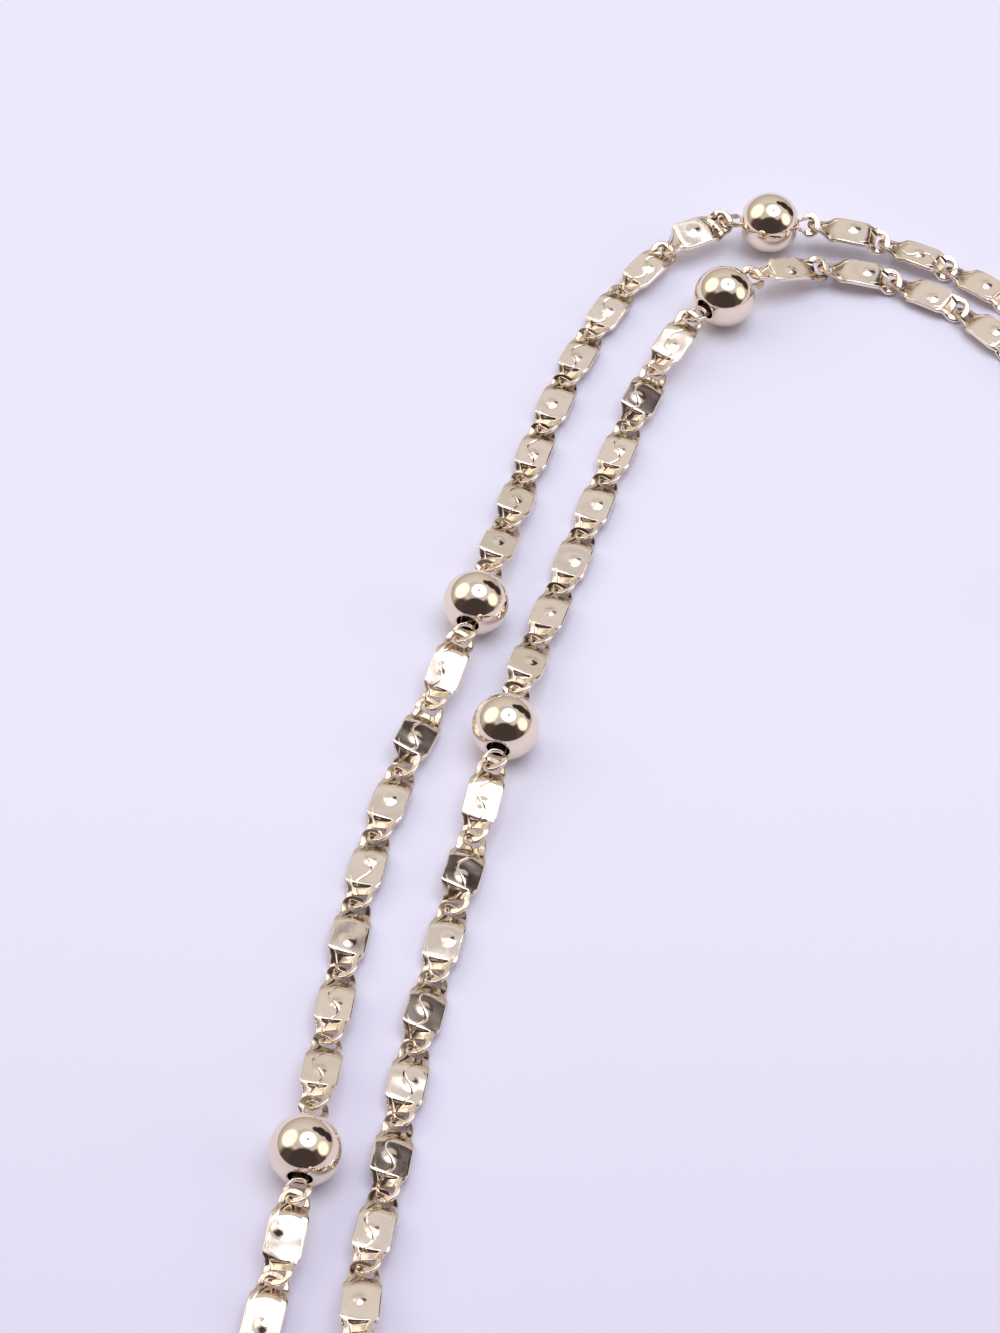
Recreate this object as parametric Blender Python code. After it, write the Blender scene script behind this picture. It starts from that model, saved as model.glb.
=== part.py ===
# A necklace of stamped flat links and polished ball beads, laid down as a doubled loop.
# Lengths are in millimetres until a mesh is made. +Z is up, and the necklace rests on z = 0.
import math

import bmesh
import bpy
import numpy as np

for old in list(bpy.data.objects):
    bpy.data.objects.remove(old, do_unlink=True)

MM = 0.001
CLEARANCE = 0.3

# Stamped link: a flat plate with a pierced loop at each end
METAL = 0.28
PLATE_LENGTH = 2.55
PLATE_WIDTH = 2.1
LOOP_WIDTH = 1.65
RAIL_WIDTH = 0.3
LOOP_END = 0.42
LINK_PITCH = 4.75
LOOP_DROP = 0.25
LOOP_TWIST = math.radians(22)
JOINT_BITE = 0.08
ARC_STEPS = 3
# How high the joints next to a bead or an end ring stand, as shares of its height
CLIMB_SHARES = [1.0, 0.42, 0.04]

# Ball bead, and the narrow link that runs through it
BEAD_DIAMETER = 4.0
BEAD_HOLE = 1.5
BEAD_SIDES = 12
BEAD_STEPS = 6
EYE_NECK = 0.3
EYE_PLAY = 0.25

# Clasp ring with its eye, and the two end rings soldered into the last links
CLASP_DIAMETER = 6.0
CLASP_WIRE = 1.0
CLASP_SIDES = 16
CLASP_WIRE_SIDES = 8
CLASP_EYE_HOLE = 1.3
CLASP_EYE_WALL = 0.7
CLASP_EYE_SIDES = 12
END_RING_WIRE = 0.5
END_RING_ROOM = 0.45
END_RING_SIDES = 12
END_RING_WIRE_SIDES = 6
END_RING_HANG = math.radians(32)

SHARP_ANGLE = math.radians(35)

# Where the chain's centre line lies, seen from above, once round
ROUTE_STEPS = 60
ROUTE = [
    (-12.4, -45.6), (-10.7, -37.8), (-9.7, -29.9), (-8.7, -21.9), (-7.3, -14.0),
    (-5.0, -6.4), (-2.1, 1.1), (0.1, 8.8), (2.0, 16.5), (4.5, 24.1),
    (7.9, 31.3), (13.5, 36.7), (21.0, 36.5), (28.2, 34.7), (34.2, 29.9),
    (39.8, 22.6), (44.2, 13.8), (46.9, 4.4), (48.2, -5.4), (48.6, -13.4),
    (48.0, -20.2), (44.6, -25.4), (39.2, -25.6), (35.9, -20.4), (35.2, -13.2),
    (35.7, -5.0), (36.6, 4.6), (36.9, 14.2), (35.4, 22.2), (32.0, 27.8),
    (28.1, 31.6), (21.7, 33.4), (14.9, 30.5), (10.1, 24.0), (7.3, 16.6),
    (4.8, 9.0), (2.4, 1.4), (0.3, -6.3), (-1.6, -14.1), (-3.4, -21.9),
    (-5.0, -29.8), (-6.2, -37.7), (-7.4, -45.6), (-5.9, -53.4), (-2.4, -60.6),
    (0.4, -68.2), (-0.8, -76.0), (-6.9, -80.8), (-14.6, -80.2), (-19.4, -74.2),
    (-19.5, -66.4), (-16.9, -59.0), (-14.3, -52.4),
]
# Distances along the route, from its first point, of the beads and the clasp
BEADS_AT = [10.4, 50.4, 92.3, 131.9, 207.0, 252.3, 291.6, 335.9, 380.2]
CLASP_AT = 153.6


# The closed curve through the route's points: each point's slope is the chord slope across its two
# neighbours, and a cubic joins each pair of points with those slopes
def smooth_route(points, steps):
    points = np.array(points)
    ahead = np.roll(points, -1, axis=0)
    span = np.linalg.norm(ahead - points, axis=1)[:, None]
    slope = (ahead - np.roll(points, 1, axis=0)) / (span + np.roll(span, 1, axis=0))
    t = (np.arange(steps) / steps)[None, :, None]
    start = points[:, None]
    start_slope = (slope * span)[:, None]
    end = ahead[:, None]
    end_slope = (np.roll(slope, -1, axis=0) * span)[:, None]
    curve = (
        (2 * t**3 - 3 * t**2 + 1) * start
        + (t**3 - 2 * t**2 + t) * start_slope
        + (3 * t**2 - 2 * t**3) * end
        + (t**3 - t**2) * end_slope
    ).reshape(-1, 2)
    return np.vstack([curve, curve[:1]])


route_curve = smooth_route(ROUTE, ROUTE_STEPS)
route_steps = np.linalg.norm(np.diff(route_curve, axis=0), axis=1)
route_length_at = np.concatenate([[0.0], np.cumsum(route_steps)])
ROUTE_LENGTH = route_length_at[-1]


def on_route(distance, height):
    place = distance % ROUTE_LENGTH
    x = np.interp(place, route_length_at, route_curve[:, 0])
    y = np.interp(place, route_length_at, route_curve[:, 1])
    return np.array([x, y, height])


def direction_at(distance):
    step = on_route(distance + LOOP_END, 0.0) - on_route(distance - LOOP_END, 0.0)
    return step / np.linalg.norm(step)


# Sizes that follow from the ones above
BEAD_RADIUS = BEAD_DIAMETER / 2
TWIST_SLOPE = math.tan(LOOP_TWIST)
FLAT_JOINT_HEIGHT = LOOP_WIDTH / 2 * TWIST_SLOPE + METAL / 2
ROD_WIDTH = math.sqrt((BEAD_HOLE - 2 * CLEARANCE) ** 2 - METAL**2)
EYE_ROOT = BEAD_RADIUS + EYE_NECK
THROUGH_PITCH = 2 * (EYE_ROOT + EYE_PLAY + LOOP_END)
END_RING_HOLE = (CLASP_WIRE + LOOP_END) / 2 + CLEARANCE + END_RING_ROOM
END_RING_CORNER = END_RING_WIRE / 2 / math.cos(math.pi / END_RING_WIRE_SIDES)
END_RING_OUTER = END_RING_HOLE + END_RING_WIRE / 2 + END_RING_CORNER
END_JOINT_REACH = END_RING_HOLE * math.cos(END_RING_HANG)
END_JOINT_HEIGHT = END_RING_OUTER - END_RING_HOLE * math.sin(END_RING_HANG)
CLASP_HEIGHT = 2 * END_RING_CORNER + CLEARANCE + CLASP_WIRE / 2
CLASP_RADIUS = (CLASP_DIAMETER - CLASP_WIRE) / 2
CLASP_EYE_RADIUS = (CLASP_EYE_HOLE + CLASP_EYE_WALL) / 2
CLASP_EYE_AT = CLASP_DIAMETER / 2 + CLASP_EYE_HOLE / 2
# The ring's hole is off centre to the wire that it hangs on, to leave room for the last link
END_RING_SHIFT = (LOOP_END + CLEARANCE) / 4


# One link as (points, faces), along +X and flat on z = 0. Each loop has round metal outside and a
# square window inside, and is turned about X: its left side is the high one, seen outwards
def link_shape(length, root, half_width, shoulder, loop_width, rail, drop):
    loop = loop_width / 2
    arc_centre = length / 2 - loop
    window = loop - rail
    window_end = length / 2 - LOOP_END
    outer = [(root, loop)]
    for angle in np.linspace(math.pi / 2, -math.pi / 2, ARC_STEPS + 1):
        outer.append((arc_centre + loop * math.cos(angle), loop * math.sin(angle)))
    outer.append((root, -loop))
    side = [(root - shoulder, -half_width), (shoulder - root, -half_width)]
    inner = [(root, window), (window_end, window), (window_end, -window), (root, -window)]
    half = outer + side + inner
    plan = np.array(half + [(-u, -v) for u, v in half])

    far_outer, far_side, far_inner = (
        list(range(first, last))
        for first, last in (
            (0, len(outer)),
            (len(outer), len(outer) + len(side)),
            (len(outer) + len(side), len(half)),
        )
    )
    near_outer, near_side, near_inner = (
        [index + len(half) for index in part] for part in (far_outer, far_side, far_inner)
    )

    share = np.clip((np.abs(plan[:, 0]) - root) / (arc_centre - root), 0, 1)
    height = share * (np.sign(plan[:, 0]) * plan[:, 1] * TWIST_SLOPE - drop)
    top = np.column_stack([plan, height + METAL / 2])
    bottom = np.column_stack([plan, height - METAL / 2])
    # The low side of each loop has a flat foot, which the link rests on
    for out, inn in ((far_outer, far_inner), (near_outer, near_inner)):
        bottom[[out[-3], out[-2], inn[2]], 2] = -drop - loop * TWIST_SLOPE - METAL / 2

    middle = (ARC_STEPS + 1) // 2
    flat = []
    for out, inn in ((far_outer, far_inner), (near_outer, near_inner)):
        flat.append([out[0], out[1], inn[1], inn[0]])
        flat += [[out[i], out[i + 1], inn[1]] for i in range(1, middle)]
        flat.append([out[middle], out[middle + 1], inn[2], inn[1]])
        flat += [[out[i], out[i + 1], inn[2]] for i in range(middle + 1, ARC_STEPS + 1)]
        flat.append([out[-2], out[-1], inn[3], inn[2]])
    flat.append(
        [far_outer[0], far_inner[0], far_inner[3], far_outer[-1]] + far_side
        + [near_outer[0], near_inner[0], near_inner[3], near_outer[-1]] + near_side
    )
    total = len(plan)
    faces = flat + [[index + total for index in face] for face in flat]
    for edge in (far_outer + far_side + near_outer + near_side, far_inner, near_inner):
        for a, b in zip(edge, edge[1:] + edge[:1]):
            faces.append([a, b, b + total, a + total])
    return np.vstack([top, bottom]), faces


# A torus as (points, faces) about Z: wire sides are turned so that a flat one faces up and down
def ring_shape(radius, wire, sides, wire_sides):
    across = wire / 2 / math.cos(math.pi / wire_sides)
    turns = np.arange(sides) * 2 * math.pi / sides
    round_wire = (np.arange(wire_sides) + 0.5) * 2 * math.pi / wire_sides + math.pi / 2
    out = radius + across * np.cos(round_wire)[None, :]
    points = np.stack([
        out * np.cos(turns)[:, None],
        out * np.sin(turns)[:, None],
        np.broadcast_to(across * np.sin(round_wire), (sides, wire_sides)),
    ], axis=-1).reshape(-1, 3)
    faces = []
    for i in range(sides):
        for j in range(wire_sides):
            a, b = i * wire_sides, (i + 1) % sides * wire_sides
            k = (j + 1) % wire_sides
            faces.append([a + j, b + j, b + k, a + k])
    return points, faces


# A drilled ball about X as (points, faces), with a corner of each ring straight below
def bead_shape():
    mouth = math.asin(BEAD_HOLE / BEAD_DIAMETER)
    along = np.linspace(mouth, math.pi - mouth, BEAD_STEPS + 1)
    turns = np.arange(BEAD_SIDES) * 2 * math.pi / BEAD_SIDES - math.pi / 2
    radius = BEAD_RADIUS * np.sin(along)[:, None]
    points = np.stack([
        np.broadcast_to(BEAD_RADIUS * np.cos(along)[:, None], (BEAD_STEPS + 1, BEAD_SIDES)),
        radius * np.cos(turns),
        radius * np.sin(turns),
    ], axis=-1).reshape(-1, 3)
    faces = []
    for i in range(BEAD_STEPS + 1):
        for j in range(BEAD_SIDES):
            a, b = i * BEAD_SIDES, (i + 1) % (BEAD_STEPS + 1) * BEAD_SIDES
            k = (j + 1) % BEAD_SIDES
            faces.append([a + j, a + k, b + k, b + j])
    return points, faces


# Moves a shape to a centre, with its X along one direction and its Z as near up as that allows
def placed(shape, centre, along):
    points, faces = shape
    forward = along / np.linalg.norm(along)
    left = np.cross([0.0, 0.0, 1.0], forward)
    left /= np.linalg.norm(left)
    up = np.cross(forward, left)
    return points @ np.array([forward, left, up]) + centre, faces


# A link between two joints: its loops' ends pass through each other a bite's depth at the joint
def link_between(start, end, through_bead):
    span = np.linalg.norm(end - start)
    length = span + 2 * LOOP_END - JOINT_BITE
    if through_bead:
        neck = EYE_NECK / 2
        shape = link_shape(length, EYE_ROOT, ROD_WIDTH / 2, neck, LOOP_WIDTH, RAIL_WIDTH, 0.0)
        lift = 0.0
    else:
        shoulder = (PLATE_WIDTH - LOOP_WIDTH) / 2
        shape = link_shape(
            length, PLATE_LENGTH / 2, PLATE_WIDTH / 2, shoulder, LOOP_WIDTH, RAIL_WIDTH, LOOP_DROP
        )
        lift = LOOP_DROP
    points, faces = placed(shape, (start + end) / 2, end - start)
    return points + [0.0, 0.0, lift], faces


# The joints from one end of a run to the other, all the same length apart. They lie level on the
# surface, apart from the few next to an end, which climb to its height
def run_joints(start_at, end_at, start_height, end_height):
    plan_length = end_at - start_at
    count = max(len(CLIMB_SHARES), round(plan_length / LINK_PITCH))
    heights = np.full(count + 1, FLAT_JOINT_HEIGHT)
    for i, share in enumerate(CLIMB_SHARES):
        heights[i] += share * (start_height - FLAT_JOINT_HEIGHT)
        heights[count - i] += share * (end_height - FLAT_JOINT_HEIGHT)
    rises = np.diff(heights)
    low, high = np.abs(rises).max(), 2 * plan_length / count
    while high - low > 1e-6:
        pitch = (low + high) / 2
        steps = np.sqrt(pitch**2 - rises**2)
        if steps.sum() < plan_length:
            low = pitch
        else:
            high = pitch
    places = start_at + np.concatenate([[0.0], np.cumsum(steps)])
    return [on_route(place, height) for place, height in zip(places, heights)]


def end_ring(centre, along):
    points, faces = ring_shape(
        END_RING_HOLE + END_RING_WIRE / 2, END_RING_WIRE, END_RING_SIDES, END_RING_WIRE_SIDES
    )
    upright = points[:, [0, 2, 1]]
    return placed((upright, faces), centre, along)


# Every solid of the chain in order, from the clasp round to the clasp again
def chain_pieces():
    along = direction_at(CLASP_AT)
    clasp_centre = on_route(CLASP_AT, END_RING_OUTER)
    eye_side = CLASP_EYE_AT + CLASP_EYE_RADIUS
    first_ring = clasp_centre + along * (eye_side + END_RING_SHIFT)
    last_ring = clasp_centre - along * (CLASP_RADIUS + END_RING_SHIFT)
    first_reach = eye_side + END_RING_SHIFT + END_JOINT_REACH
    last_reach = CLASP_RADIUS + END_RING_SHIFT + END_JOINT_REACH
    bead_joint = THROUGH_PITCH / 2

    stops = sorted(at if at > CLASP_AT else at + ROUTE_LENGTH for at in BEADS_AT)
    pieces = [end_ring(first_ring, along)]
    start_at, start_height = CLASP_AT + first_reach, END_JOINT_HEIGHT
    for stop in stops + [None]:
        if stop is None:
            end_at, end_height = CLASP_AT + ROUTE_LENGTH - last_reach, END_JOINT_HEIGHT
        else:
            end_at, end_height = stop - bead_joint, BEAD_RADIUS
        joints = run_joints(start_at, end_at, start_height, end_height)
        if start_height == END_JOINT_HEIGHT:
            joints[0] = first_ring + along * END_JOINT_REACH
            joints[0][2] = END_JOINT_HEIGHT
        if end_height == END_JOINT_HEIGHT:
            joints[-1] = last_ring - along * END_JOINT_REACH
            joints[-1][2] = END_JOINT_HEIGHT
        pieces += [link_between(a, b, False) for a, b in zip(joints, joints[1:])]
        if stop is not None:
            start_at, start_height = stop + bead_joint, BEAD_RADIUS
            pieces.append(link_between(joints[-1], on_route(start_at, start_height), True))
    pieces.append(end_ring(last_ring, along))
    return pieces


def gathered(shapes):
    points, faces, base = [], [], 0
    for shape_points, shape_faces in shapes:
        points.append(shape_points)
        faces += [[index + base for index in face] for face in shape_faces]
        base += len(shape_points)
    return np.vstack(points), faces


def metal(name, colour, roughness):
    material = bpy.data.materials.new(name)
    material.use_nodes = True
    shader = material.node_tree.nodes["Principled BSDF"]
    shader.inputs["Base Color"].default_value = (*colour, 1.0)
    shader.inputs["Metallic"].default_value = 1.0
    shader.inputs["Roughness"].default_value = roughness
    return material


# An object whose origin is the necklace's own: the middle of its footprint, on the surface
def add_object(name, shape, material, origin):
    points, faces = shape
    mesh = bpy.data.meshes.new(name)
    mesh.from_pydata(((points - origin) * MM).tolist(), [], faces)
    tidy = bmesh.new()
    tidy.from_mesh(mesh)
    bmesh.ops.recalc_face_normals(tidy, faces=tidy.faces)
    tidy.to_mesh(mesh)
    tidy.free()
    mesh.shade_smooth()
    mesh.set_sharp_from_angle(angle=SHARP_ANGLE)
    mesh.materials.append(material)
    obj = bpy.data.objects.new(name, mesh)
    bpy.context.scene.collection.objects.link(obj)
    return obj


# Joins a helper's solids to an object, so that the two become one body
def fuse(obj, helper):
    helper.hide_render = True
    helper.display_type = "WIRE"
    union = obj.modifiers.new("Soldered", "BOOLEAN")
    union.operation = "UNION"
    union.solver = "EXACT"
    union.object = helper


def build_chain(pieces, gold, origin):
    chain = add_object("chain", gathered(pieces[0::2]), gold, origin)
    fuse(chain, add_object("chain_other_links", gathered(pieces[1::2]), gold, origin))


# The balls, each in the middle of the straight link that runs through it
def bead_pieces():
    pieces = []
    for at in BEADS_AT:
        start, end = (on_route(at + side * THROUGH_PITCH / 2, BEAD_RADIUS) for side in (-1, 1))
        pieces.append(placed(bead_shape(), (start + end) / 2, end - start))
    return pieces


def build_beads(balls, gold, origin):
    for number, ball in enumerate(balls, start=1):
        add_object(f"bead_{number:02d}", ball, gold, origin)


def clasp_shapes():
    along = direction_at(CLASP_AT)
    centre = on_route(CLASP_AT, CLASP_HEIGHT)
    ring = ring_shape(CLASP_RADIUS, CLASP_WIRE, CLASP_SIDES, CLASP_WIRE_SIDES)
    eye = ring_shape(CLASP_EYE_RADIUS, CLASP_EYE_WALL, CLASP_EYE_SIDES, CLASP_WIRE_SIDES)
    return (
        placed(ring, centre, along),
        placed(eye, centre + along * CLASP_EYE_AT, along),
    )


def build_clasp(gold, origin):
    ring, eye = clasp_shapes()
    clasp = add_object("clasp", ring, gold, origin)
    fuse(clasp, add_object("clasp_eye", eye, gold, origin))


def footprint_middle(shapes):
    points = np.vstack([points for points, _ in shapes])
    low, high = points.min(axis=0), points.max(axis=0)
    return np.array([(low[0] + high[0]) / 2, (low[1] + high[1]) / 2, 0.0])


chain = chain_pieces()
balls = bead_pieces()
middle = footprint_middle(chain + balls + list(clasp_shapes()))
link_gold = metal("Link gold", (0.88, 0.76, 0.62), 0.16)
bead_gold = metal("Bead gold", (0.90, 0.78, 0.62), 0.06)
clasp_gold = metal("Clasp gold", (0.88, 0.75, 0.60), 0.18)
build_chain(chain, link_gold, middle)
build_beads(balls, bead_gold, middle)
build_clasp(clasp_gold, middle)
print(f"Route {ROUTE_LENGTH:.1f} mm, {len(chain)} chain pieces, origin at {middle.round(2)}")
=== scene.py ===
# A beaded chain necklace laid down as a doubled loop: flat stamped links, polished ball beads, a plain clasp.
# Sizes are in millimetres until a mesh is made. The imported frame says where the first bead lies
import math

import bpy
import numpy as np
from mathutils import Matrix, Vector


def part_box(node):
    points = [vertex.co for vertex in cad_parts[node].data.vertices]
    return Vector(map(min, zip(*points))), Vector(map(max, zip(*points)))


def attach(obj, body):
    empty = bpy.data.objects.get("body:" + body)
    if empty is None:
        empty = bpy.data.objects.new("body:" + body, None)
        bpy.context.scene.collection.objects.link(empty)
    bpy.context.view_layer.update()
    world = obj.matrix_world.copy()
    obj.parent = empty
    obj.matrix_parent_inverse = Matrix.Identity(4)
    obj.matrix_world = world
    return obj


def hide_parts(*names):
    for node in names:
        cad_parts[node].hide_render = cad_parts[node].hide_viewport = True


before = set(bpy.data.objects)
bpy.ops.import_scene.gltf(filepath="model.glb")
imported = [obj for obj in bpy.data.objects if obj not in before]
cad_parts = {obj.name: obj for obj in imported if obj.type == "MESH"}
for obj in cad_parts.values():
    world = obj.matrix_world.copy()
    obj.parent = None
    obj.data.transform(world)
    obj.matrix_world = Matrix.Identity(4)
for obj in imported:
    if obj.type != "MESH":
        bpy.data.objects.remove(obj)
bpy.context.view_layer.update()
print("Frame loaded with", len(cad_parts), "nodes")

mm = 0.001

# The chain's centre line seen from above, once round, and how far along it the beads and the clasp are
routeSettings = {
    "steps": 60,
    "beadsAt": [10.4, 50.4, 92.3, 131.9, 207.0, 252.3, 291.6, 335.9, 380.2],
    "claspAt": 153.6,
    "points": [
        (-12.4, -45.6), (-10.7, -37.8), (-9.7, -29.9), (-8.7, -21.9), (-7.3, -14.0),
        (-5.0, -6.4), (-2.1, 1.1), (0.1, 8.8), (2.0, 16.5), (4.5, 24.1),
        (7.9, 31.3), (13.5, 36.7), (21.0, 36.5), (28.2, 34.7), (34.2, 29.9),
        (39.8, 22.6), (44.2, 13.8), (46.9, 4.4), (48.2, -5.4), (48.6, -13.4),
        (48.0, -20.2), (44.6, -25.4), (39.2, -25.6), (35.9, -20.4), (35.2, -13.2),
        (35.7, -5.0), (36.6, 4.6), (36.9, 14.2), (35.4, 22.2), (32.0, 27.8),
        (28.1, 31.6), (21.7, 33.4), (14.9, 30.5), (10.1, 24.0), (7.3, 16.6),
        (4.8, 9.0), (2.4, 1.4), (0.3, -6.3), (-1.6, -14.1), (-3.4, -21.9),
        (-5.0, -29.8), (-6.2, -37.7), (-7.4, -45.6), (-5.9, -53.4), (-2.4, -60.6),
        (0.4, -68.2), (-0.8, -76.0), (-6.9, -80.8), (-14.6, -80.2), (-19.4, -74.2),
        (-19.5, -66.4), (-16.9, -59.0), (-14.3, -52.4),
    ],
}

# A plate is flat for plateLength, and at each end a narrower, twisted loop dips by drop. tongue is the
# pressed strip past the plate. nearEnd is the end towards the camera, and each end has its own bend, sink and
# painted shade. pitchTolerance ends the search for the links' exact spacing
linkSettings = {
    "metal": 0.28,
    "plateLength": 2.55,
    "plateWidth": 2.1,
    "loopWidth": 1.65,
    "loopEnd": 0.42,
    "pitch": 4.75,
    "drop": 0.25,
    "twist": math.radians(22),
    "jointGap": 0.02,
    "pitchTolerance": 1e-6,
    "climb": [1.0, 0.42, 0.04],
    "visualRail": 0.34,
    "edgeRound": 0.08,
    "tongue": 0.58,
    "tongueFade": 8,
    "tongueEdge": 0.6,
    "squareness": 5.0,
    "twistBefore": 0.17,
    "levelBefore": 0.15,
    # The next reach and each end's rail and sink shares are painted shade: they darken the colour of the bent
    # rails and the pressed tongue, where the metal lies in shade
    "shadePast": 0.3,
    "nearEnd": {
        "bendBefore": 0.16, "arch": 0.10, "sink": 0.15, "sinkBefore": -0.02, "sinkLength": 0.13,
        "paintedRailShade": 0.15, "paintedSinkShade": 0.35,
    },
    "farEnd": {
        "bendBefore": 0.46, "arch": 0.34, "sink": 0.16, "sinkBefore": 0.30, "sinkLength": 0.62,
        "paintedRailShade": 0.75, "paintedSinkShade": 0.3,
    },
    "leanSpread": (3.6, 3.2),
    "pipAt": (0.15, 0.05),
    "pipSpread": (0.22, 0.15),
    "pipRadius": 0.5,
    "pipHeight": 0.12,
    "swellHeight": 0.018,
    "swellLengths": (1.2, 2.8),
    "swellWaves": 3,
    "throughRoot": 2.2,
    "throughShoulder": 0.3,
    "throughTongue": -0.25,
    "throughSquareness": 2.4,
}

# Plates whose lean isn't left to chance: (right side down, near end down) in degrees, by the plate's number
# along the chain from the clasp. Far to the right a level plate mirrors a dark patch of the room, and far
# forward the lamp
chosenLeans = {
    18: (2, 0), 19: (17, -7), 20: (-2, 1), 21: (0, 2), 22: (0, 5), 23: (-2, 2), 24: (10, -3),
    25: (1, 6), 26: (19, -10), 27: (0, 3), 28: (18, -3), 29: (7, 1), 30: (15, -5), 31: (1, 6), 32: (0, 3),
    48: (2, 12), 49: (2, 11), 50: (1, -1), 51: (0, 0), 52: (11, -3), 53: (-2, 0), 54: (0, 1),
    55: (19, -12), 56: (2, 11), 57: (9, -3), 58: (10, -3), 59: (0, 0), 60: (0, 3), 64: (11, -12),
}

beadSettings = {
    "diameter": 4.0,
    "hole": 1.5,
    "visualHole": 1.34,
    "lip": 0.12,
    "neck": 0.3,
    "play": 0.25,
    "clearance": 0.3,
    "around": 96,
    "along": 64,
    "alongLip": 8,
    "alongBore": 9,
}

claspSettings = {
    "diameter": 6.0,
    "wire": 1.0,
    "eyeHole": 1.3,
    "eyeWall": 0.7,
    "endRingWire": 0.5,
    "endRingRoom": 0.45,
    "endRingHang": math.radians(32),
    "ringGrid": (96, 28),
    "eyeGrid": (64, 24),
    "endRingGrid": (72, 20),
}


# A closed curve through points: the slope at each is the chord slope across its neighbours, and a cubic
# joins each pair of points with those slopes
def smoothRoute(points, steps):
    points = np.array(points)
    ahead = np.roll(points, -1, axis=0)
    span = np.linalg.norm(ahead - points, axis=1)[:, None]
    slope = (ahead - np.roll(points, 1, axis=0)) / (span + np.roll(span, 1, axis=0))
    t = (np.arange(steps) / steps)[None, :, None]
    start, startSlope = points[:, None], (slope * span)[:, None]
    end, endSlope = ahead[:, None], (np.roll(slope, -1, axis=0) * span)[:, None]
    curve = (
        (2 * t**3 - 3 * t**2 + 1) * start
        + (t**3 - 2 * t**2 + t) * startSlope
        + (3 * t**2 - 2 * t**3) * end
        + (t**3 - t**2) * endSlope
    ).reshape(-1, 2)
    return np.vstack([curve, curve[:1]])


routeCurve = smoothRoute(routeSettings["points"], routeSettings["steps"])
routeAt = np.concatenate([[0.0], np.cumsum(np.linalg.norm(np.diff(routeCurve, axis=0), axis=1))])
routeLength = routeAt[-1]


def onRoute(distance, height):
    place = distance % routeLength
    x = np.interp(place, routeAt, routeCurve[:, 0])
    y = np.interp(place, routeAt, routeCurve[:, 1])
    return np.array([x, y, height])


def directionAt(distance):
    reach = linkSettings["loopEnd"]
    step = onRoute(distance + reach, 0.0) - onRoute(distance - reach, 0.0)
    return step / np.linalg.norm(step)


# 0 below the start, 1 above the end, and between them 3t^2 - 2t^3
def smoothStep(value, start, end):
    t = np.clip((value - start) / (end - start), 0, 1)
    return t * t * (3 - 2 * t)


beadRadius = beadSettings["diameter"] / 2
loopHalf = linkSettings["loopWidth"] / 2
twistSlope = math.tan(linkSettings["twist"])

# On the table a joint is as high as the middle of a twisted loop is over its low side. The rod through a ball
# has a diagonal that clears the bore on both sides. Beside the ball come the neck, the play and a loop's end
flatJointHeight = loopHalf * twistSlope + linkSettings["metal"] / 2
rodWidth = math.sqrt((beadSettings["hole"] - 2 * beadSettings["clearance"]) ** 2 - linkSettings["metal"] ** 2)
eyeRoot = beadRadius + beadSettings["neck"]
throughPitch = 2 * (eyeRoot + beadSettings["play"] + linkSettings["loopEnd"])

# The end rings stand upright, and hang on the clasp's wire. ringHole is the radius of their hole, and
# ringCorner is half of the wire over the cosine of 30 degrees, because the frame's wire has six sides. A link
# meets its ring at the edge of the hole, endRingHang below the middle
ringWire = claspSettings["endRingWire"]
ringHole = (claspSettings["wire"] + linkSettings["loopEnd"]) / 2 + beadSettings["clearance"]
ringHole += claspSettings["endRingRoom"]
ringCorner = ringWire / 2 / math.cos(math.pi / 6)
ringOuter = ringHole + ringWire / 2 + ringCorner
ringJointReach = ringHole * math.cos(claspSettings["endRingHang"])
ringJointHeight = ringOuter - ringHole * math.sin(claspSettings["endRingHang"])
ringShift = (linkSettings["loopEnd"] + beadSettings["clearance"]) / 4

# The clasp lies a clearance above the wire of the rings, and its radii are to the middle of its own wire
claspHeight = 2 * ringCorner + beadSettings["clearance"] + claspSettings["wire"] / 2
claspRadius = (claspSettings["diameter"] - claspSettings["wire"]) / 2
claspEyeRadius = (claspSettings["eyeHole"] + claspSettings["eyeWall"]) / 2
claspEyeAt = claspSettings["diameter"] / 2 + claspSettings["eyeHole"] / 2

# The frame's own place for the first bead gives the shift from the route's numbers to the frame's
firstLow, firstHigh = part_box("bead_01")
firstStart, firstEnd = (
    onRoute(routeSettings["beadsAt"][0] + side * throughPitch / 2, beadRadius) for side in (-1, 1)
)
shift = np.array((firstLow + firstHigh) / 2) / mm - (firstStart + firstEnd) / 2
shift[2] = 0.0
print("Shift of the route to the frame, in mm:", shift.round(3))

# A link is two halves, each a grid of columns that run from its window out to its outline. Columns go
# round the window: along one side, round the end, back along the other side and across the plate.
# edgeStep and mostEdge are shares of an edge's radius and of a column. cornerPull draws columns towards the
# window's corners at the plate. gatherRows gives the share of the rows at the column's start, just before and
# just after the pressed edge, and at its end
gridSettings = {
    "side": 16,
    "end": 14,
    "across": 26,
    "topRows": 24,
    "bottomRows": 5,
    "edgeStep": 0.29,
    "mostEdge": 0.3,
    "cornerPull": 1.7,
    "gatherRows": [0, 0.25, 0.6, 1],
    "gatherBefore": 0.1,
    "gatherAfter": 0.16,
}
plateColumn = 2 * gridSettings["side"] + gridSettings["end"]
columnCount = plateColumn + gridSettings["across"]


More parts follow.
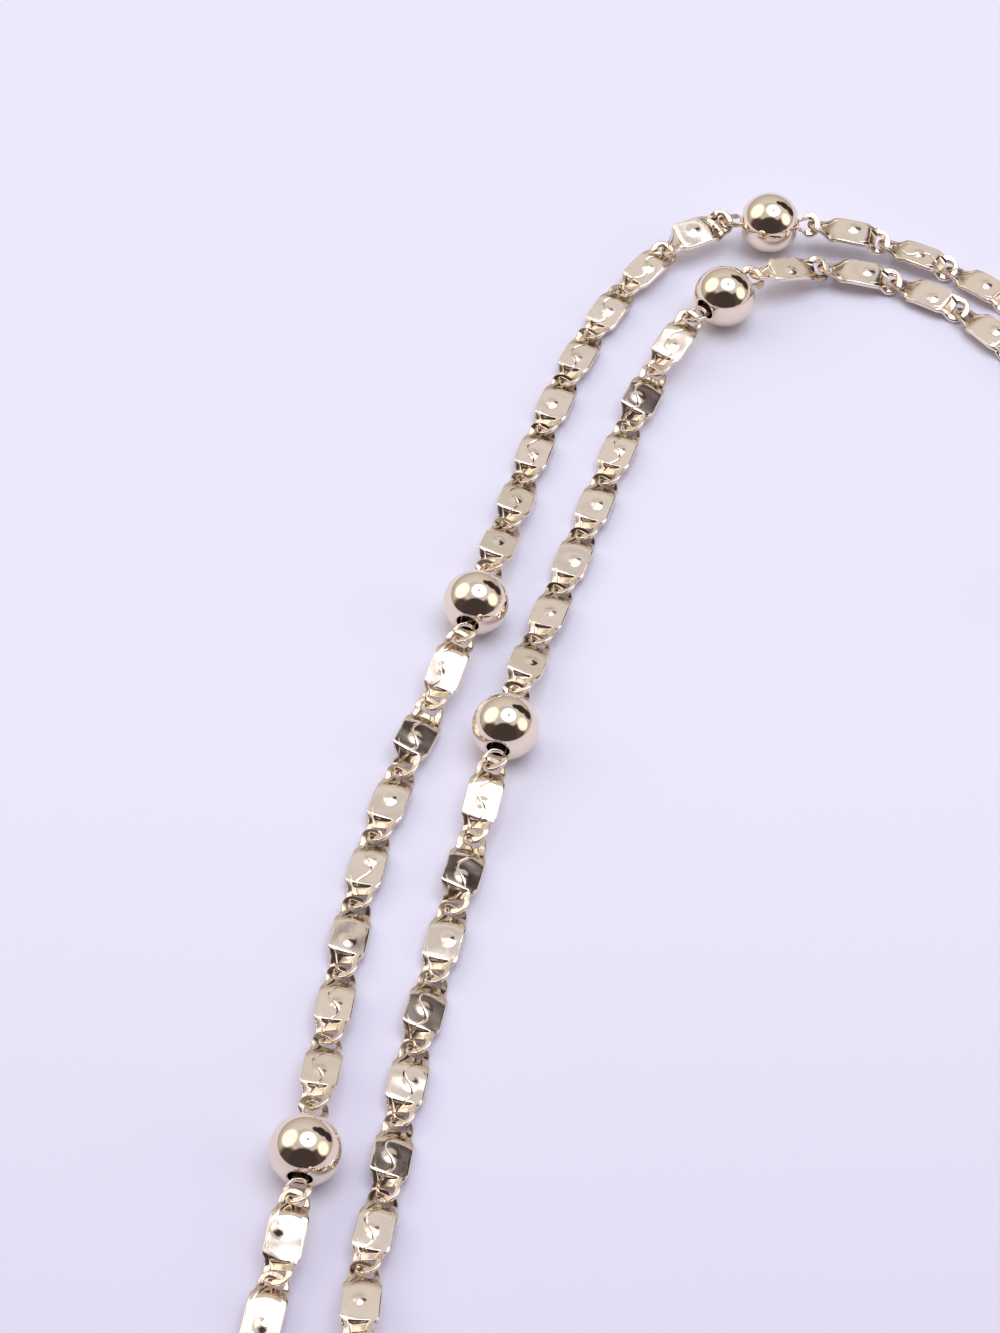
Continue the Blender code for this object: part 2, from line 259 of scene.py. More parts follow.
# Numbers the link's vertices by half, column and row, the top's first and then the bottom's, and lists
# its quads. The two halves share the vertices of the line across the plate's middle
def linkTopology():
    topRows, bottomRows = gridSettings["topRows"], gridSettings["bottomRows"]
    topCount = 2 * columnCount * (topRows + 1)
    top = np.arange(topCount).reshape(2, columnCount, topRows + 1)
    bottom = topCount + np.arange(2 * columnCount * (bottomRows + 1)).reshape(2, columnCount, bottomRows + 1)
    k = np.arange(gridSettings["across"] + 1)
    for face in (top, bottom):
        face[1, (plateColumn + k) % columnCount, -1] = face[0, (plateColumn + k[::-1]) % columnCount, -1]
    i = np.arange(columnCount)
    following = (i + 1) % columnCount
    edge = i < plateColumn
    quads = []
    for half in (0, 1):
        t, b = top[half], bottom[half]
        quads.append(np.stack([t[i, :-1], t[i, 1:], t[following, 1:], t[following, :-1]], -1))
        quads.append(np.stack([b[i, :-1], b[following, :-1], b[following, 1:], b[i, 1:]], -1))
        quads.append(np.stack([t[i, 0], t[following, 0], b[following, 0], b[i, 0]], -1))
        quads.append(np.stack([t[i, -1], b[i, -1], b[following, -1], t[following, -1]], -1)[edge])
    ids = np.concatenate([top.ravel(), bottom.ravel()])
    used, compact = np.unique(ids, return_inverse=True)
    renumbered = np.zeros(ids.max() + 1, int)
    renumbered[used] = np.arange(len(used))
    order = np.zeros(len(used), int)
    order[compact.ravel()[::-1]] = np.arange(len(ids))[::-1]
    return renumbered[np.concatenate([quad.reshape(-1, 4) for quad in quads])], order


linkQuads, linkOrder = linkTopology()
onTop = linkOrder < 2 * columnCount * (gridSettings["topRows"] + 1)
chance, swellChance = np.random.default_rng(7), np.random.default_rng(11)


# How far a rounded edge has fallen at a distance in from it: a quarter circle of that radius
def edgeFall(distance, radius):
    inward = np.clip(radius - distance, 0, radius)
    return radius - np.sqrt(np.maximum(radius**2 - inward**2, 0))


# The rows + 1 distances out along each column: its ends, one step in from each, and the rest even between the
# rounded edges, but over the plate gathered where the metal is pressed down
def columnSteps(reach, rows, radius, gatherAt):
    g = gridSettings
    radius = np.minimum(radius, g["mostEdge"] * reach)[:, None]
    reach = reach[:, None]
    share = np.linspace(0, 1, rows - 3)
    middle = radius + (reach - 2 * radius) * share
    if gatherAt > 0:
        first, last = radius[-1, 0], reach[-1, 0] - radius[-1, 0]
        places = [first, gatherAt - g["gatherBefore"], gatherAt + g["gatherAfter"], last]
        gathered = np.interp(share, g["gatherRows"], places) / last
        middle[plateColumn:] = gathered * (reach - radius)[plateColumn:]
    edge = g["edgeStep"] * radius
    return np.hstack([0 * reach, edge, middle, reach - edge, reach])


# Half a link as (points, painted shade) of its top and bottom grids, with u along it and v across. The
# outline's half width is the plate's, then by a smooth step the loop's, then a half circle's. The window is a
# squarish oval,
# |u|^n + |v|^n = 1 for n the squareness. The height of the metal's middle is the twist, v times the slope,
# less the drop, each brought in by a smooth step along u. Past the plate the metal between the rails is
# pressed down, and the painted shade darkens the colour of the bent rails and the pressed strip
def halfLink(length, root, halfWidth, shoulder, drop, tongue, squareness, shape):
    s, g = linkSettings, gridSettings
    arcCentre = length / 2 - loopHalf
    window = loopHalf - s["visualRail"]
    windowStart, windowEnd = root + tongue, length / 2 - s["loopEnd"]
    windowMiddle, windowReach = (windowStart + windowEnd) / 2, (windowEnd - windowStart) / 2

    def halfWidthAt(u):
        narrowed = smoothStep(np.abs(u), root - shoulder, root + shoulder)
        return halfWidth + (loopHalf - halfWidth) * narrowed

    share = np.arange(g["side"]) / g["side"]
    turn = np.arange(g["end"]) / g["end"]
    cluster = s["edgeRound"] / halfWidth
    nearEdge = 1 - g["edgeStep"] * cluster
    even = np.linspace(1 - cluster, cluster - 1, g["across"] - 3)
    across = np.concatenate([[1, nearEdge], even, [-nearEdge]])
    endAngle = (turn - 0.5) * math.pi
    sideU, backU = arcCentre * share, arcCentre * (1 - share)
    outerU = np.concatenate([sideU, arcCentre + loopHalf * np.cos(endAngle), backU, 0 * across])
    outerV = np.concatenate([
        -halfWidthAt(sideU),
        loopHalf * np.sin(endAngle),
        halfWidthAt(backU),
        halfWidth * across,
    ])

    pull = g["cornerPull"]
    theta = math.pi * np.concatenate([
        -0.75 + 0.5 * share**pull,
        (turn - 0.5) / 2,
        0.25 + 0.5 * (1 - (1 - share) ** pull),
    ])
    power = 2 / squareness
    plateV = 0.5 ** (1 / squareness) * across
    plateU = -((1 - np.abs(plateV) ** squareness) ** (1 / squareness))
    innerU = np.concatenate([np.sign(np.cos(theta)) * np.abs(np.cos(theta)) ** power, plateU])
    innerV = np.concatenate([np.sign(np.sin(theta)) * np.abs(np.sin(theta)) ** power, plateV])
    innerU, innerV = windowMiddle + windowReach * innerU, window * innerV

    reach = np.hypot(outerU - innerU, outerV - innerV)
    overPlate = np.zeros(columnCount)
    overPlate[plateColumn:] = 1 - np.abs(across) ** s["tongueFade"]
    overPlate = overPlate[:, None] * (tongue > 0)
    grids = []
    for rows, side in ((g["topRows"], 1), (g["bottomRows"], -1)):
        steps = columnSteps(reach, rows, s["edgeRound"], tongue if side == 1 else 0)
        part = steps / reach[:, None]
        u = innerU[:, None] + (outerU - innerU)[:, None] * part
        v = innerV[:, None] + (outerV - innerV)[:, None] * part
        toOutline = np.where(
            u > arcCentre, loopHalf - np.hypot(u - arcCentre, v), halfWidthAt(u) - np.abs(v))
        fall = edgeFall(np.maximum(toOutline, 0), s["edgeRound"])
        fall = np.maximum(fall, edgeFall(steps, s["edgeRound"] * (1 - s["tongueEdge"] * overPlate)))
        bent = u + shape["arch"] * (v / halfWidth) ** 2
        bend = smoothStep(bent, root - shape["bendBefore"], arcCentre)
        twisted = smoothStep(u, root - s["twistBefore"], arcCentre)
        middle = twisted * v * twistSlope - bend * drop
        sinkStart = root - shape["sinkBefore"]
        sunk = overPlate * smoothStep(bent, sinkStart, sinkStart + shape["sinkLength"])
        height = middle + side * (s["metal"] / 2 - fall) - (side == 1) * shape["sink"] * sunk
        # Painted shade: darker colour on the bent rails past the plate and over the pressed strip, where the
        # metal lies in shade
        paintedShade = shape["paintedRailShade"] * smoothStep(bent, root - shape["bendBefore"], root + s["shadePast"])
        paintedShade = np.clip(paintedShade + shape["paintedSinkShade"] * sunk, 0, 1)
        grids.append((np.stack([u, v, height], -1), paintedShade))
    return grids


# Heights over a plate's smooth top: a round pip, and a slow swell that is the sum of sine waves, each with
# its own direction, length and start
def topRelief(u, v, pipAt):
    s = linkSettings
    nearPip = 1 - np.hypot(u - pipAt[0], v - pipAt[1]) / s["pipRadius"]
    relief = s["pipHeight"] * smoothStep(nearPip, 0, 1)
    shortest, longest = s["swellLengths"]
    for heading, share, start in swellChance.random((s["swellWaves"], 3)):
        turn = 2 * math.pi * heading
        waveLength = shortest + share * (longest - shortest)
        along = (u * math.cos(turn) + v * math.sin(turn)) / waveLength
        relief += s["swellHeight"] / s["swellWaves"] * np.sin(2 * math.pi * (along + start))
    return relief


# A whole link as (points, plan, painted shade): its far half is a half turned half round about Z. Its lean
# lowers it by the roll's slope times v and the pitch's times u, and fades out with the relief before the
# loops. plan is (u, v) from the plate's pip
def linkSurface(length, root, halfWidth, shoulder, drop, tongue, squareness, lean, pipAt):
    s = linkSettings
    near, far = (
        halfLink(length, root, halfWidth, shoulder, drop, tongue, squareness, s[end])
        for end in ("nearEnd", "farEnd")
    )
    points = [half[k][0] * turned for k in (0, 1) for half, turned in ((near, 1), (far, [-1, -1, 1]))]
    points = np.concatenate([grid.reshape(-1, 3) for grid in points])[linkOrder]
    paintedShade = np.concatenate([half[k][1].ravel() for k in (0, 1) for half in (near, far)])[linkOrder]
    u, v = points[:, 0], points[:, 1]
    level = 1 - smoothStep(np.abs(u), root - s["levelBefore"], length / 2 - loopHalf)
    roll, pitch = np.tan(lean)
    points[:, 2] -= level * (roll * v + pitch * u)
    points[:, 2] += level * onTop * topRelief(u, v, pipAt)
    return points, points[:, :2] - pipAt, paintedShade


# Lays points with X along a direction and Z as near up as that allows
def placed(points, centre, along):
    forward = along / np.linalg.norm(along)
    left = np.cross([0.0, 0.0, 1.0], forward)
    left /= np.linalg.norm(left)
    up = np.cross(forward, left)
    return points @ np.array([forward, left, up]) + centre


# The joints from one end of a run to the other, all the same length apart, as the frame's chain has them.
# That length is found by halving: over the ground each step covers the root of its square less the rise's
def runJoints(startAt, endAt, startHeight, endHeight):
    climb = linkSettings["climb"]
    planLength = endAt - startAt
    count = max(len(climb), round(planLength / linkSettings["pitch"]))
    heights = np.full(count + 1, flatJointHeight)
    for i, share in enumerate(climb):
        heights[i] += share * (startHeight - flatJointHeight)
        heights[count - i] += share * (endHeight - flatJointHeight)
    rises = np.diff(heights)
    low, high = np.abs(rises).max(), 2 * planLength / count
    while high - low > linkSettings["pitchTolerance"]:
        middle = (low + high) / 2
        steps = np.sqrt(middle**2 - rises**2)
        if steps.sum() < planLength:
            low = middle
        else:
            high = middle
    places = startAt + np.concatenate([[0.0], np.cumsum(steps)])
    return [onRoute(place, height) for place, height in zip(places, heights)]


# A ring about Z as (points, quads): a circle of wire carried round a circle
def ringSurface(radius, wire, around, wireSides):
    turns = np.arange(around) * 2 * math.pi / around
    wireTurns = np.arange(wireSides) * 2 * math.pi / wireSides
    out = radius + wire / 2 * np.cos(wireTurns)[None, :]
    points = np.stack([
        out * np.cos(turns)[:, None],
        out * np.sin(turns)[:, None],
        np.broadcast_to(wire / 2 * np.sin(wireTurns), (around, wireSides)),
    ], axis=-1).reshape(-1, 3)
    return points, closedQuads(around, wireSides)


# Quads of a grid that closes on itself both ways
def closedQuads(rows, columns):
    i, j = np.meshgrid(np.arange(rows), np.arange(columns), indexing="ij")
    down, right = (i + 1) % rows, (j + 1) % columns
    quads = [i * columns + j, down * columns + j, down * columns + right, i * columns + right]
    return np.stack(quads, axis=-1).reshape(-1, 4)


def makePiece(name, points, quads, material, nodes, plan=None, paintedShade=None, tone=None):
    mesh = bpy.data.meshes.new(name)
    places = (points + shift) * mm
    mesh.vertices.add(len(places))
    mesh.vertices.foreach_set("co", places.astype(np.float32).ravel())
    mesh.loops.add(quads.size)
    mesh.loops.foreach_set("vertex_index", quads.astype(np.int32).ravel())
    mesh.polygons.add(len(quads))
    mesh.polygons.foreach_set("loop_start", np.arange(len(quads), dtype=np.int32) * quads.shape[1])
    mesh.update(calc_edges=True)
    mesh.shade_smooth()
    # The links' first point attribute is painted shade, which darkens their colour; tone is a plate's own
    # chance number
    for label, values in (("paintedShade", paintedShade), ("tone", tone)):
        if values is not None:
            layer = mesh.attributes.new(label, "FLOAT", "POINT")
            layer.data.foreach_set("value", values.astype(np.float32))
    if plan is not None:
        layer = mesh.uv_layers.new(name="linkPlan")
        layer.uv.foreach_set("vector", plan[quads.ravel()].astype(np.float32).ravel())
    mesh.materials.append(material)
    piece = bpy.data.objects.new(name, mesh)
    bpy.context.scene.collection.objects.link(piece)
    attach(piece, "root")
    if nodes:
        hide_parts(*nodes)
    return piece


# Colours and roughness of the three metals. Pairs are the low and high end of a range, scales are of noise,
# per metre, and a cloud is the part of the noise's range that is used
metalSettings = {
    "linkColour": (0.91, 0.80, 0.68),
    # The next two colours, their places, range and cloud are painted shade: the link colour darkens towards
    # them where the painted shade mask is high
    "shadedColour": (0.74, 0.61, 0.47),
    "deepShadeColour": (0.40, 0.31, 0.20),
    "shadeAt": (0.05, 0.5, 1.0),
    "shadeRange": (0.55, 1.1),
    "shadeCloud": (0.3, 0.65),
    "smudgeCloud": (0.35, 0.7),
    "linkRoughness": 0.12,
    "linkSmudge": (-0.02, 0.06),
    "linkDrift": (-0.04, 0.07),
    "linkScale": 900.0,
    "linkDetail": 3.0,
    "beadColour": (0.91, 0.80, 0.67),
    "beadTint": (0.88, 0.75, 0.58),
    "beadRoughness": 0.035,
    "beadSmudge": (0.7, 2.2),
    "beadScale": 420.0,
    "beadDetail": 1.0,
    "beadFineScale": 5200.0,
    "beadFineDetail": 3.0,
    "beadFineCloud": (0.4, 0.75),
    "beadSwell": 0.0001,
    "beadSwellShare": 0.05,
    "claspColour": (0.88, 0.76, 0.60),
    "claspTint": (0.80, 0.64, 0.44),
    "claspRoughness": 0.16,
    "claspSmudge": (-0.05, 0.1),
    "claspScale": 1100.0,
    "claspDetail": 4.0,
}


# Adds nodes to one tree and links their inputs in one call. ranged maps a value from one range to another.
# mixed goes from one colour to another by a factor, and 6, 7 and 2 are the Mix node's sockets for colours
class NodeDesk:
    def __init__(self, tree):
        self.tree = tree

    def add(self, kind, inputs=None, **settings):
        node = self.tree.nodes.new(kind)
        for key, value in settings.items():
            setattr(node, key, value)
        for key, value in (inputs or {}).items():
            if isinstance(value, bpy.types.NodeSocket):
                self.tree.links.new(value, node.inputs[key])
            else:
                node.inputs[key].default_value = value
        return node

    def noise(self, vector, scale, detail):
        return self.add(
            "ShaderNodeTexNoise", {"Vector": vector, "Scale": scale, "Detail": detail}).outputs["Fac"]

    def ranged(self, value, source, target=(0.0, 1.0), kind="LINEAR"):
        inputs = {
            "Value": value,
            "From Min": source[0],
            "From Max": source[1],
            "To Min": target[0],
            "To Max": target[1],
        }
        return self.add("ShaderNodeMapRange", inputs, interpolation_type=kind).outputs["Result"]

    def mixed(self, factor, first, second):
        start = first if isinstance(first, bpy.types.NodeSocket) else (*first, 1)
        inputs = {"Factor": factor, 6: start, 7: (*second, 1)}
        return self.add("ShaderNodeMix", inputs, data_type="RGBA").outputs[2]


def newMetal(name, colour, roughness):
    material = bpy.data.materials.new(name)
    material.use_nodes = True
    desk = NodeDesk(material.node_tree)
    shader = material.node_tree.nodes["Principled BSDF"]
    shader.inputs["Base Color"].default_value = (*colour, 1)
    shader.inputs["Metallic"].default_value = 1.0
    shader.inputs["Roughness"].default_value = roughness
    return material, desk, shader


# The relief that is too fine for the mesh: heights in metres, and widths and places in mm on the link. The
# crease is where v = swing times sin(bend times u) less aside, on the plates whose tone is over creaseFrom
reliefSettings = {
    "creaseHeight": -0.000035,
    "creaseWidth": 0.12,
    "creaseBend": 2.6,
    "creaseSwing": 0.34,
    "creaseAside": 0.1,
    "creaseFrom": 0.45,
    "scratchHeight": 0.0000035,
    "scratchScale": 2.2,
    "scratchStretch": (1.2, 14.0, 1.0),
    "scratchTurn": (0, 0, 0.5),
    "scratchDetail": 4.0,
    "grainHeight": 0.0000016,
    "grainScale": 9.0,
    "grainDetail": 3.0,
    "toneShift": 40.0,
}


# Polished plate. Its colour darkens by painted shade where the metal is pressed and bent, and its roughness
# drifts from plate to plate. Its relief adds a faint S crease on some plates, short scratches and grain. plan
# is the place on the link in mm from the plate's pip, and tone is a plate's own chance number
def linkMetal():
    m, r = metalSettings, reliefSettings
    material, desk, shader = newMetal("linkGold", m["linkColour"], m["linkRoughness"])
    link = material.node_tree.links.new

    def maths(operation, *values):
        return desk.add("ShaderNodeMath", dict(enumerate(values)), operation=operation).outputs[0]

    place = desk.add("ShaderNodeTexCoord").outputs["Object"]
    plan = desk.add("ShaderNodeUVMap", uv_map="linkPlan").outputs["UV"]
    paintedShade = desk.add("ShaderNodeAttribute", attribute_name="paintedShade").outputs["Fac"]
    tone = desk.add("ShaderNodeAttribute", attribute_name="tone").outputs["Fac"]
    cloud = desk.noise(place, m["linkScale"], m["linkDetail"])
    # Painted shade: the mask, spread by noise, takes the base colour down the ramp to darker golds
    shadeAmount = maths("MULTIPLY", paintedShade, desk.ranged(cloud, m["shadeCloud"], m["shadeRange"]))
    ramp = desk.add("ShaderNodeValToRGB", {"Fac": shadeAmount})
    ramp.color_ramp.elements.new(m["shadeAt"][1])
    colours = (m["linkColour"], m["shadedColour"], m["deepShadeColour"])
    for element, at, colour in zip(ramp.color_ramp.elements, m["shadeAt"], colours):
        element.position = at
        element.color = (*colour, 1)
    link(ramp.outputs["Color"], shader.inputs["Base Color"])
    lowest, highest = (m["linkRoughness"] + more for more in m["linkSmudge"])
    smudge = desk.ranged(cloud, m["smudgeCloud"], (lowest, highest))
    drift = desk.ranged(tone, (0.0, 1.0), m["linkDrift"])
    rough = desk.add("ShaderNodeMath", {0: smudge, 1: drift}, operation="ADD", use_clamp=True).outputs[0]
    link(rough, shader.inputs["Roughness"])

    apart = desk.add("ShaderNodeCombineXYZ", {"Z": maths("MULTIPLY", tone, r["toneShift"])}).outputs[0]
    ownPlan = desk.add("ShaderNodeVectorMath", {0: plan, 1: apart}, operation="ADD").outputs["Vector"]
    grain = desk.noise(ownPlan, r["grainScale"], r["grainDetail"])
    inputs = {"Vector": ownPlan, "Scale": r["scratchStretch"], "Rotation": r["scratchTurn"]}
    stretch = desk.add("ShaderNodeMapping", inputs).outputs["Vector"]
    scratch = desk.noise(stretch, r["scratchScale"], r["scratchDetail"])
    axes = desk.add("ShaderNodeSeparateXYZ", {"Vector": plan})
    swing = maths("SINE", maths("MULTIPLY", axes.outputs["X"], r["creaseBend"]))
    beside = maths("ADD", axes.outputs["Y"], r["creaseAside"])
    offCurve = maths("ABSOLUTE", maths("SUBTRACT", beside, maths("MULTIPLY", swing, r["creaseSwing"])))
    crease = desk.ranged(offCurve, (r["creaseWidth"], 0.0), kind="SMOOTHSTEP")
    creased = maths("MULTIPLY", crease, maths("GREATER_THAN", tone, r["creaseFrom"]))
    relief = maths("MULTIPLY", creased, r["creaseHeight"])
    for height, amount in ((scratch, r["scratchHeight"]), (grain, r["grainHeight"])):
        relief = maths("MULTIPLY_ADD", height, amount, relief)
    bump = desk.add("ShaderNodeBump", {"Height": relief, "Strength": 1.0, "Distance": 1.0})
    link(bump.outputs["Normal"], shader.inputs["Normal"])
    return material


# Mirror polish with a faint swell from the tumbling barrel and finely uneven roughness
def beadMetal():
    m = metalSettings
    material, desk, shader = newMetal("beadGold", m["beadColour"], m["beadRoughness"])
    link = material.node_tree.links.new
    place = desk.add("ShaderNodeTexCoord").outputs["Object"]
    swell = desk.noise(place, m["beadScale"], m["beadDetail"])
    fine = desk.noise(place, m["beadFineScale"], m["beadFineDetail"])
    lowest, highest = (m["beadRoughness"] * times for times in m["beadSmudge"])
    link(desk.ranged(fine, m["beadFineCloud"], (lowest, highest)), shader.inputs["Roughness"])
    link(desk.mixed(swell, m["beadColour"], m["beadTint"]), shader.inputs["Base Color"])
    inputs = {"Height": swell, "Strength": m["beadSwellShare"], "Distance": m["beadSwell"]}
    link(desk.add("ShaderNodeBump", inputs).outputs["Normal"], shader.inputs["Normal"])
    return material


def claspMetal():
    m = metalSettings
    material, desk, shader = newMetal("claspGold", m["claspColour"], m["claspRoughness"])
    link = material.node_tree.links.new
    place = desk.add("ShaderNodeTexCoord").outputs["Object"]
    cloud = desk.noise(place, m["claspScale"], m["claspDetail"])
    lowest, highest = (m["claspRoughness"] + more for more in m["claspSmudge"])
    link(desk.ranged(cloud, m["smudgeCloud"], (lowest, highest)), shader.inputs["Roughness"])
    link(desk.mixed(cloud, m["claspColour"], m["claspTint"]), shader.inputs["Base Color"])
    return material


linkGold, beadGold, claspGold = linkMetal(), beadMetal(), claspMetal()
print("Metals made")

claspDirection = directionAt(routeSettings["claspAt"])
ringCentre = onRoute(routeSettings["claspAt"], ringOuter)
eyeSide = claspEyeAt + claspEyeRadius
firstRing = ringCentre + claspDirection * (eyeSide + ringShift)
lastRing = ringCentre - claspDirection * (claspRadius + ringShift)


# One link between two joints, as (points, plan, painted shade). Its ends reach past the joints, through its
# neighbours' windows, and its near end is the one towards the camera. A link with no lean runs through a ball
def linkBetween(start, end, lean):
    s = linkSettings
    if end[1] > start[1]:
        start, end = end, start
    length = np.linalg.norm(end - start) + 2 * s["loopEnd"] + s["jointGap"]
    pipAt = chance.normal(s["pipAt"], s["pipSpread"])
    if lean is None:
        lift = 0.0
        points, plan, paintedShade = linkSurface(
            length, s["throughRoot"], rodWidth / 2, s["throughShoulder"], lift,
            s["throughTongue"], s["throughSquareness"], (0.0, 0.0), pipAt)
    else:
        lift = s["drop"]
        shoulder = (s["plateWidth"] - s["loopWidth"]) / 2
        points, plan, paintedShade = linkSurface(
            length, s["plateLength"] / 2, s["plateWidth"] / 2, shoulder, lift,
            s["tongue"], s["squareness"], lean, pipAt)
    points = placed(points, (start + end) / 2, end - start) + [0.0, 0.0, lift]
    points[:, 2] += max(0.0, -points[:, 2].min())
    return points, plan, paintedShade


def makeRun(name, shapes):
    sizes = [len(points) for points, _, _ in shapes]
    starts = np.concatenate([[0], np.cumsum(sizes)[:-1]])
    quads = np.concatenate([linkQuads + start for start in starts])
    tone = np.repeat(chance.random(len(shapes)), sizes)
    points, plan, paintedShade = (np.concatenate([shape[k] for shape in shapes]) for k in range(3))
    return makePiece(name, points, quads, linkGold, ["chain"], plan, paintedShade, tone)


def makeChain():
    bead = throughPitch / 2
    claspAt = routeSettings["claspAt"]
    stops = sorted(at if at > claspAt else at + routeLength for at in routeSettings["beadsAt"])
    startAt, startHeight = claspAt + eyeSide + ringShift + ringJointReach, ringJointHeight
    plates = count = 0
    for run, stop in enumerate(stops + [None], start=1):
        if stop is None:
            endAt = claspAt + routeLength - claspRadius - ringShift - ringJointReach
            endHeight = ringJointHeight
        else:
            endAt, endHeight = stop - bead, beadRadius
        joints = runJoints(startAt, endAt, startHeight, endHeight)
        if run == 1:
            joints[0] = firstRing + claspDirection * ringJointReach
            joints[0][2] = ringJointHeight
        if stop is None:
            joints[-1] = lastRing - claspDirection * ringJointReach
            joints[-1][2] = ringJointHeight
        shapes = []
        for a, b in zip(joints, joints[1:]):
            plates += 1
            lean = chosenLeans.get(plates, chance.normal(0, linkSettings["leanSpread"]))
            shapes.append(linkBetween(a, b, np.radians(lean)))
        if stop is not None:
            startAt, startHeight = stop + bead, beadRadius
            shapes.append(linkBetween(joints[-1], onRoute(startAt, startHeight), None))
        makeRun(f"chainRun{run:02d}", shapes)
        count += len(shapes)
    print("Chain made of", count, "links")


# A drilled ball about X: its profile is the ball's arc, a small arc that rolls over into the hole at each
# end, and the straight bore, and the profile is turned about X
def beadSurface():
    b = beadSettings
    lipOut = b["visualHole"] / 2 + b["lip"]
    lipAlong = math.sqrt((beadRadius - b["lip"]) ** 2 - lipOut**2)
    rim = math.atan2(lipOut, lipAlong)
    ball = np.linspace(rim, math.pi - rim, b["along"], endpoint=False)
    farLip = np.linspace(math.pi - rim, 1.5 * math.pi, b["alongLip"], endpoint=False)
    bore = np.linspace(1, -1, b["alongBore"])
    nearLip = np.linspace(-0.5 * math.pi, rim, b["alongLip"], endpoint=False)[1:]
    along = np.concatenate([
        beadRadius * np.cos(ball),
        b["lip"] * np.cos(farLip) - lipAlong,
        -lipAlong * bore,
        b["lip"] * np.cos(nearLip) + lipAlong,
    ])
    out = np.concatenate([
        beadRadius * np.sin(ball),
        b["lip"] * np.sin(farLip) + lipOut,
        np.full(b["alongBore"], b["visualHole"] / 2),
        b["lip"] * np.sin(nearLip) + lipOut,
    ])
    turns = np.arange(b["around"]) * 2 * math.pi / b["around"]
    points = np.stack([
        np.broadcast_to(along[:, None], (len(along), b["around"])),
        out[:, None] * np.cos(turns),
        out[:, None] * np.sin(turns),
    ], axis=-1).reshape(-1, 3)
    return points, closedQuads(len(along), b["around"])


def makeBeads():
    points, quads = beadSurface()
    for number, at in enumerate(routeSettings["beadsAt"], start=1):
        start, end = (onRoute(at + side * throughPitch / 2, beadRadius) for side in (-1, 1))
        ball = placed(points, (start + end) / 2, end - start)
        makePiece(f"ballBead{number:02d}", ball, quads, beadGold, [f"bead_{number:02d}"])
    print("Beads made:", len(routeSettings["beadsAt"]))


# A ring and an eye, joined into one mesh
def makeClasp():
    c = claspSettings
    centre = onRoute(routeSettings["claspAt"], claspHeight)
    ring, ringQuads = ringSurface(claspRadius, c["wire"], *c["ringGrid"])
    ring = placed(ring, centre, claspDirection)
    clasp = makePiece("ringClasp", ring, ringQuads, claspGold, ["clasp"])
    eye, eyeQuads = ringSurface(claspEyeRadius, c["eyeWall"], *c["eyeGrid"])
    eye = placed(eye, centre + claspDirection * claspEyeAt, claspDirection)
    eyePiece = makePiece("ringClaspEye", eye, eyeQuads, claspGold, [])
    solder = clasp.modifiers.new("Soldered", "BOOLEAN")
    solder.operation = "UNION"
    solder.solver = "EXACT"
    solder.object = eyePiece
    graph = bpy.context.evaluated_depsgraph_get()
    joined = bpy.data.meshes.new_from_object(clasp.evaluated_get(graph))
    clasp.modifiers.clear()
    clasp.data = joined
    joined.shade_smooth()
    bpy.data.objects.remove(eyePiece, do_unlink=True)
    print("Clasp made")


# Each ring is turned upright by swapping Y and Z, so its quads turn the other way
def makeEndRings():
    ring, quads = ringSurface(ringHole + ringWire / 2, ringWire, *claspSettings["endRingGrid"])
    upright = ring[:, [0, 2, 1]]
    for name, centre in (("endRingFirst", firstRing), ("endRingLast", lastRing)):
        points = placed(upright, centre, claspDirection)
        makePiece(name, points, quads[:, ::-1], linkGold, ["chain"])
    print("End rings made")


makeChain()
makeBeads()
makeClasp()
makeEndRings()

# In metres, but below is in mm
tableSettings = {
    "reach": 20.0,
    "below": 0.02,
    "roughness": 0.6,
    "specular": 0.2,
    "farColour": (0.85, 0.852, 0.995),
    # The near colour is painted shade: the table darkens towards the camera
    "shadedNearColour": (0.735, 0.717, 0.875),
    "nearY": -0.05,
    "farY": 0.022,
}


# The table: a plain pale surface, with painted shade that makes it a little darker towards the camera
def makeTable():
    t = tableSettings
    reach = t["reach"]
    mesh = bpy.data.meshes.new("table")
    corners = [(-reach, -reach), (reach, -reach), (reach, reach), (-reach, reach)]
    mesh.from_pydata([(x, y, -t["below"] * mm) for x, y in corners], [], [(0, 1, 2, 3)])
    material = bpy.data.materials.new("tablePaper")
    material.use_nodes = True
    desk = NodeDesk(material.node_tree)
    shader = material.node_tree.nodes["Principled BSDF"]
    shader.inputs["Roughness"].default_value = t["roughness"]
    shader.inputs["Specular IOR Level"].default_value = t["specular"]
    place = desk.add("ShaderNodeTexCoord").outputs["Object"]
    y = desk.add("ShaderNodeSeparateXYZ", {"Vector": place}).outputs["Y"]
    # Painted shade: the colour goes from the far colour to the darker near colour towards the camera
    share = desk.ranged(y, (t["nearY"], t["farY"]), kind="SMOOTHSTEP")
    colour = desk.mixed(share, t["shadedNearColour"], t["farColour"])
    material.node_tree.links.new(colour, shader.inputs["Base Color"])
    mesh.materials.append(material)
    table = bpy.data.objects.new("table", mesh)
    bpy.context.scene.collection.objects.link(table)


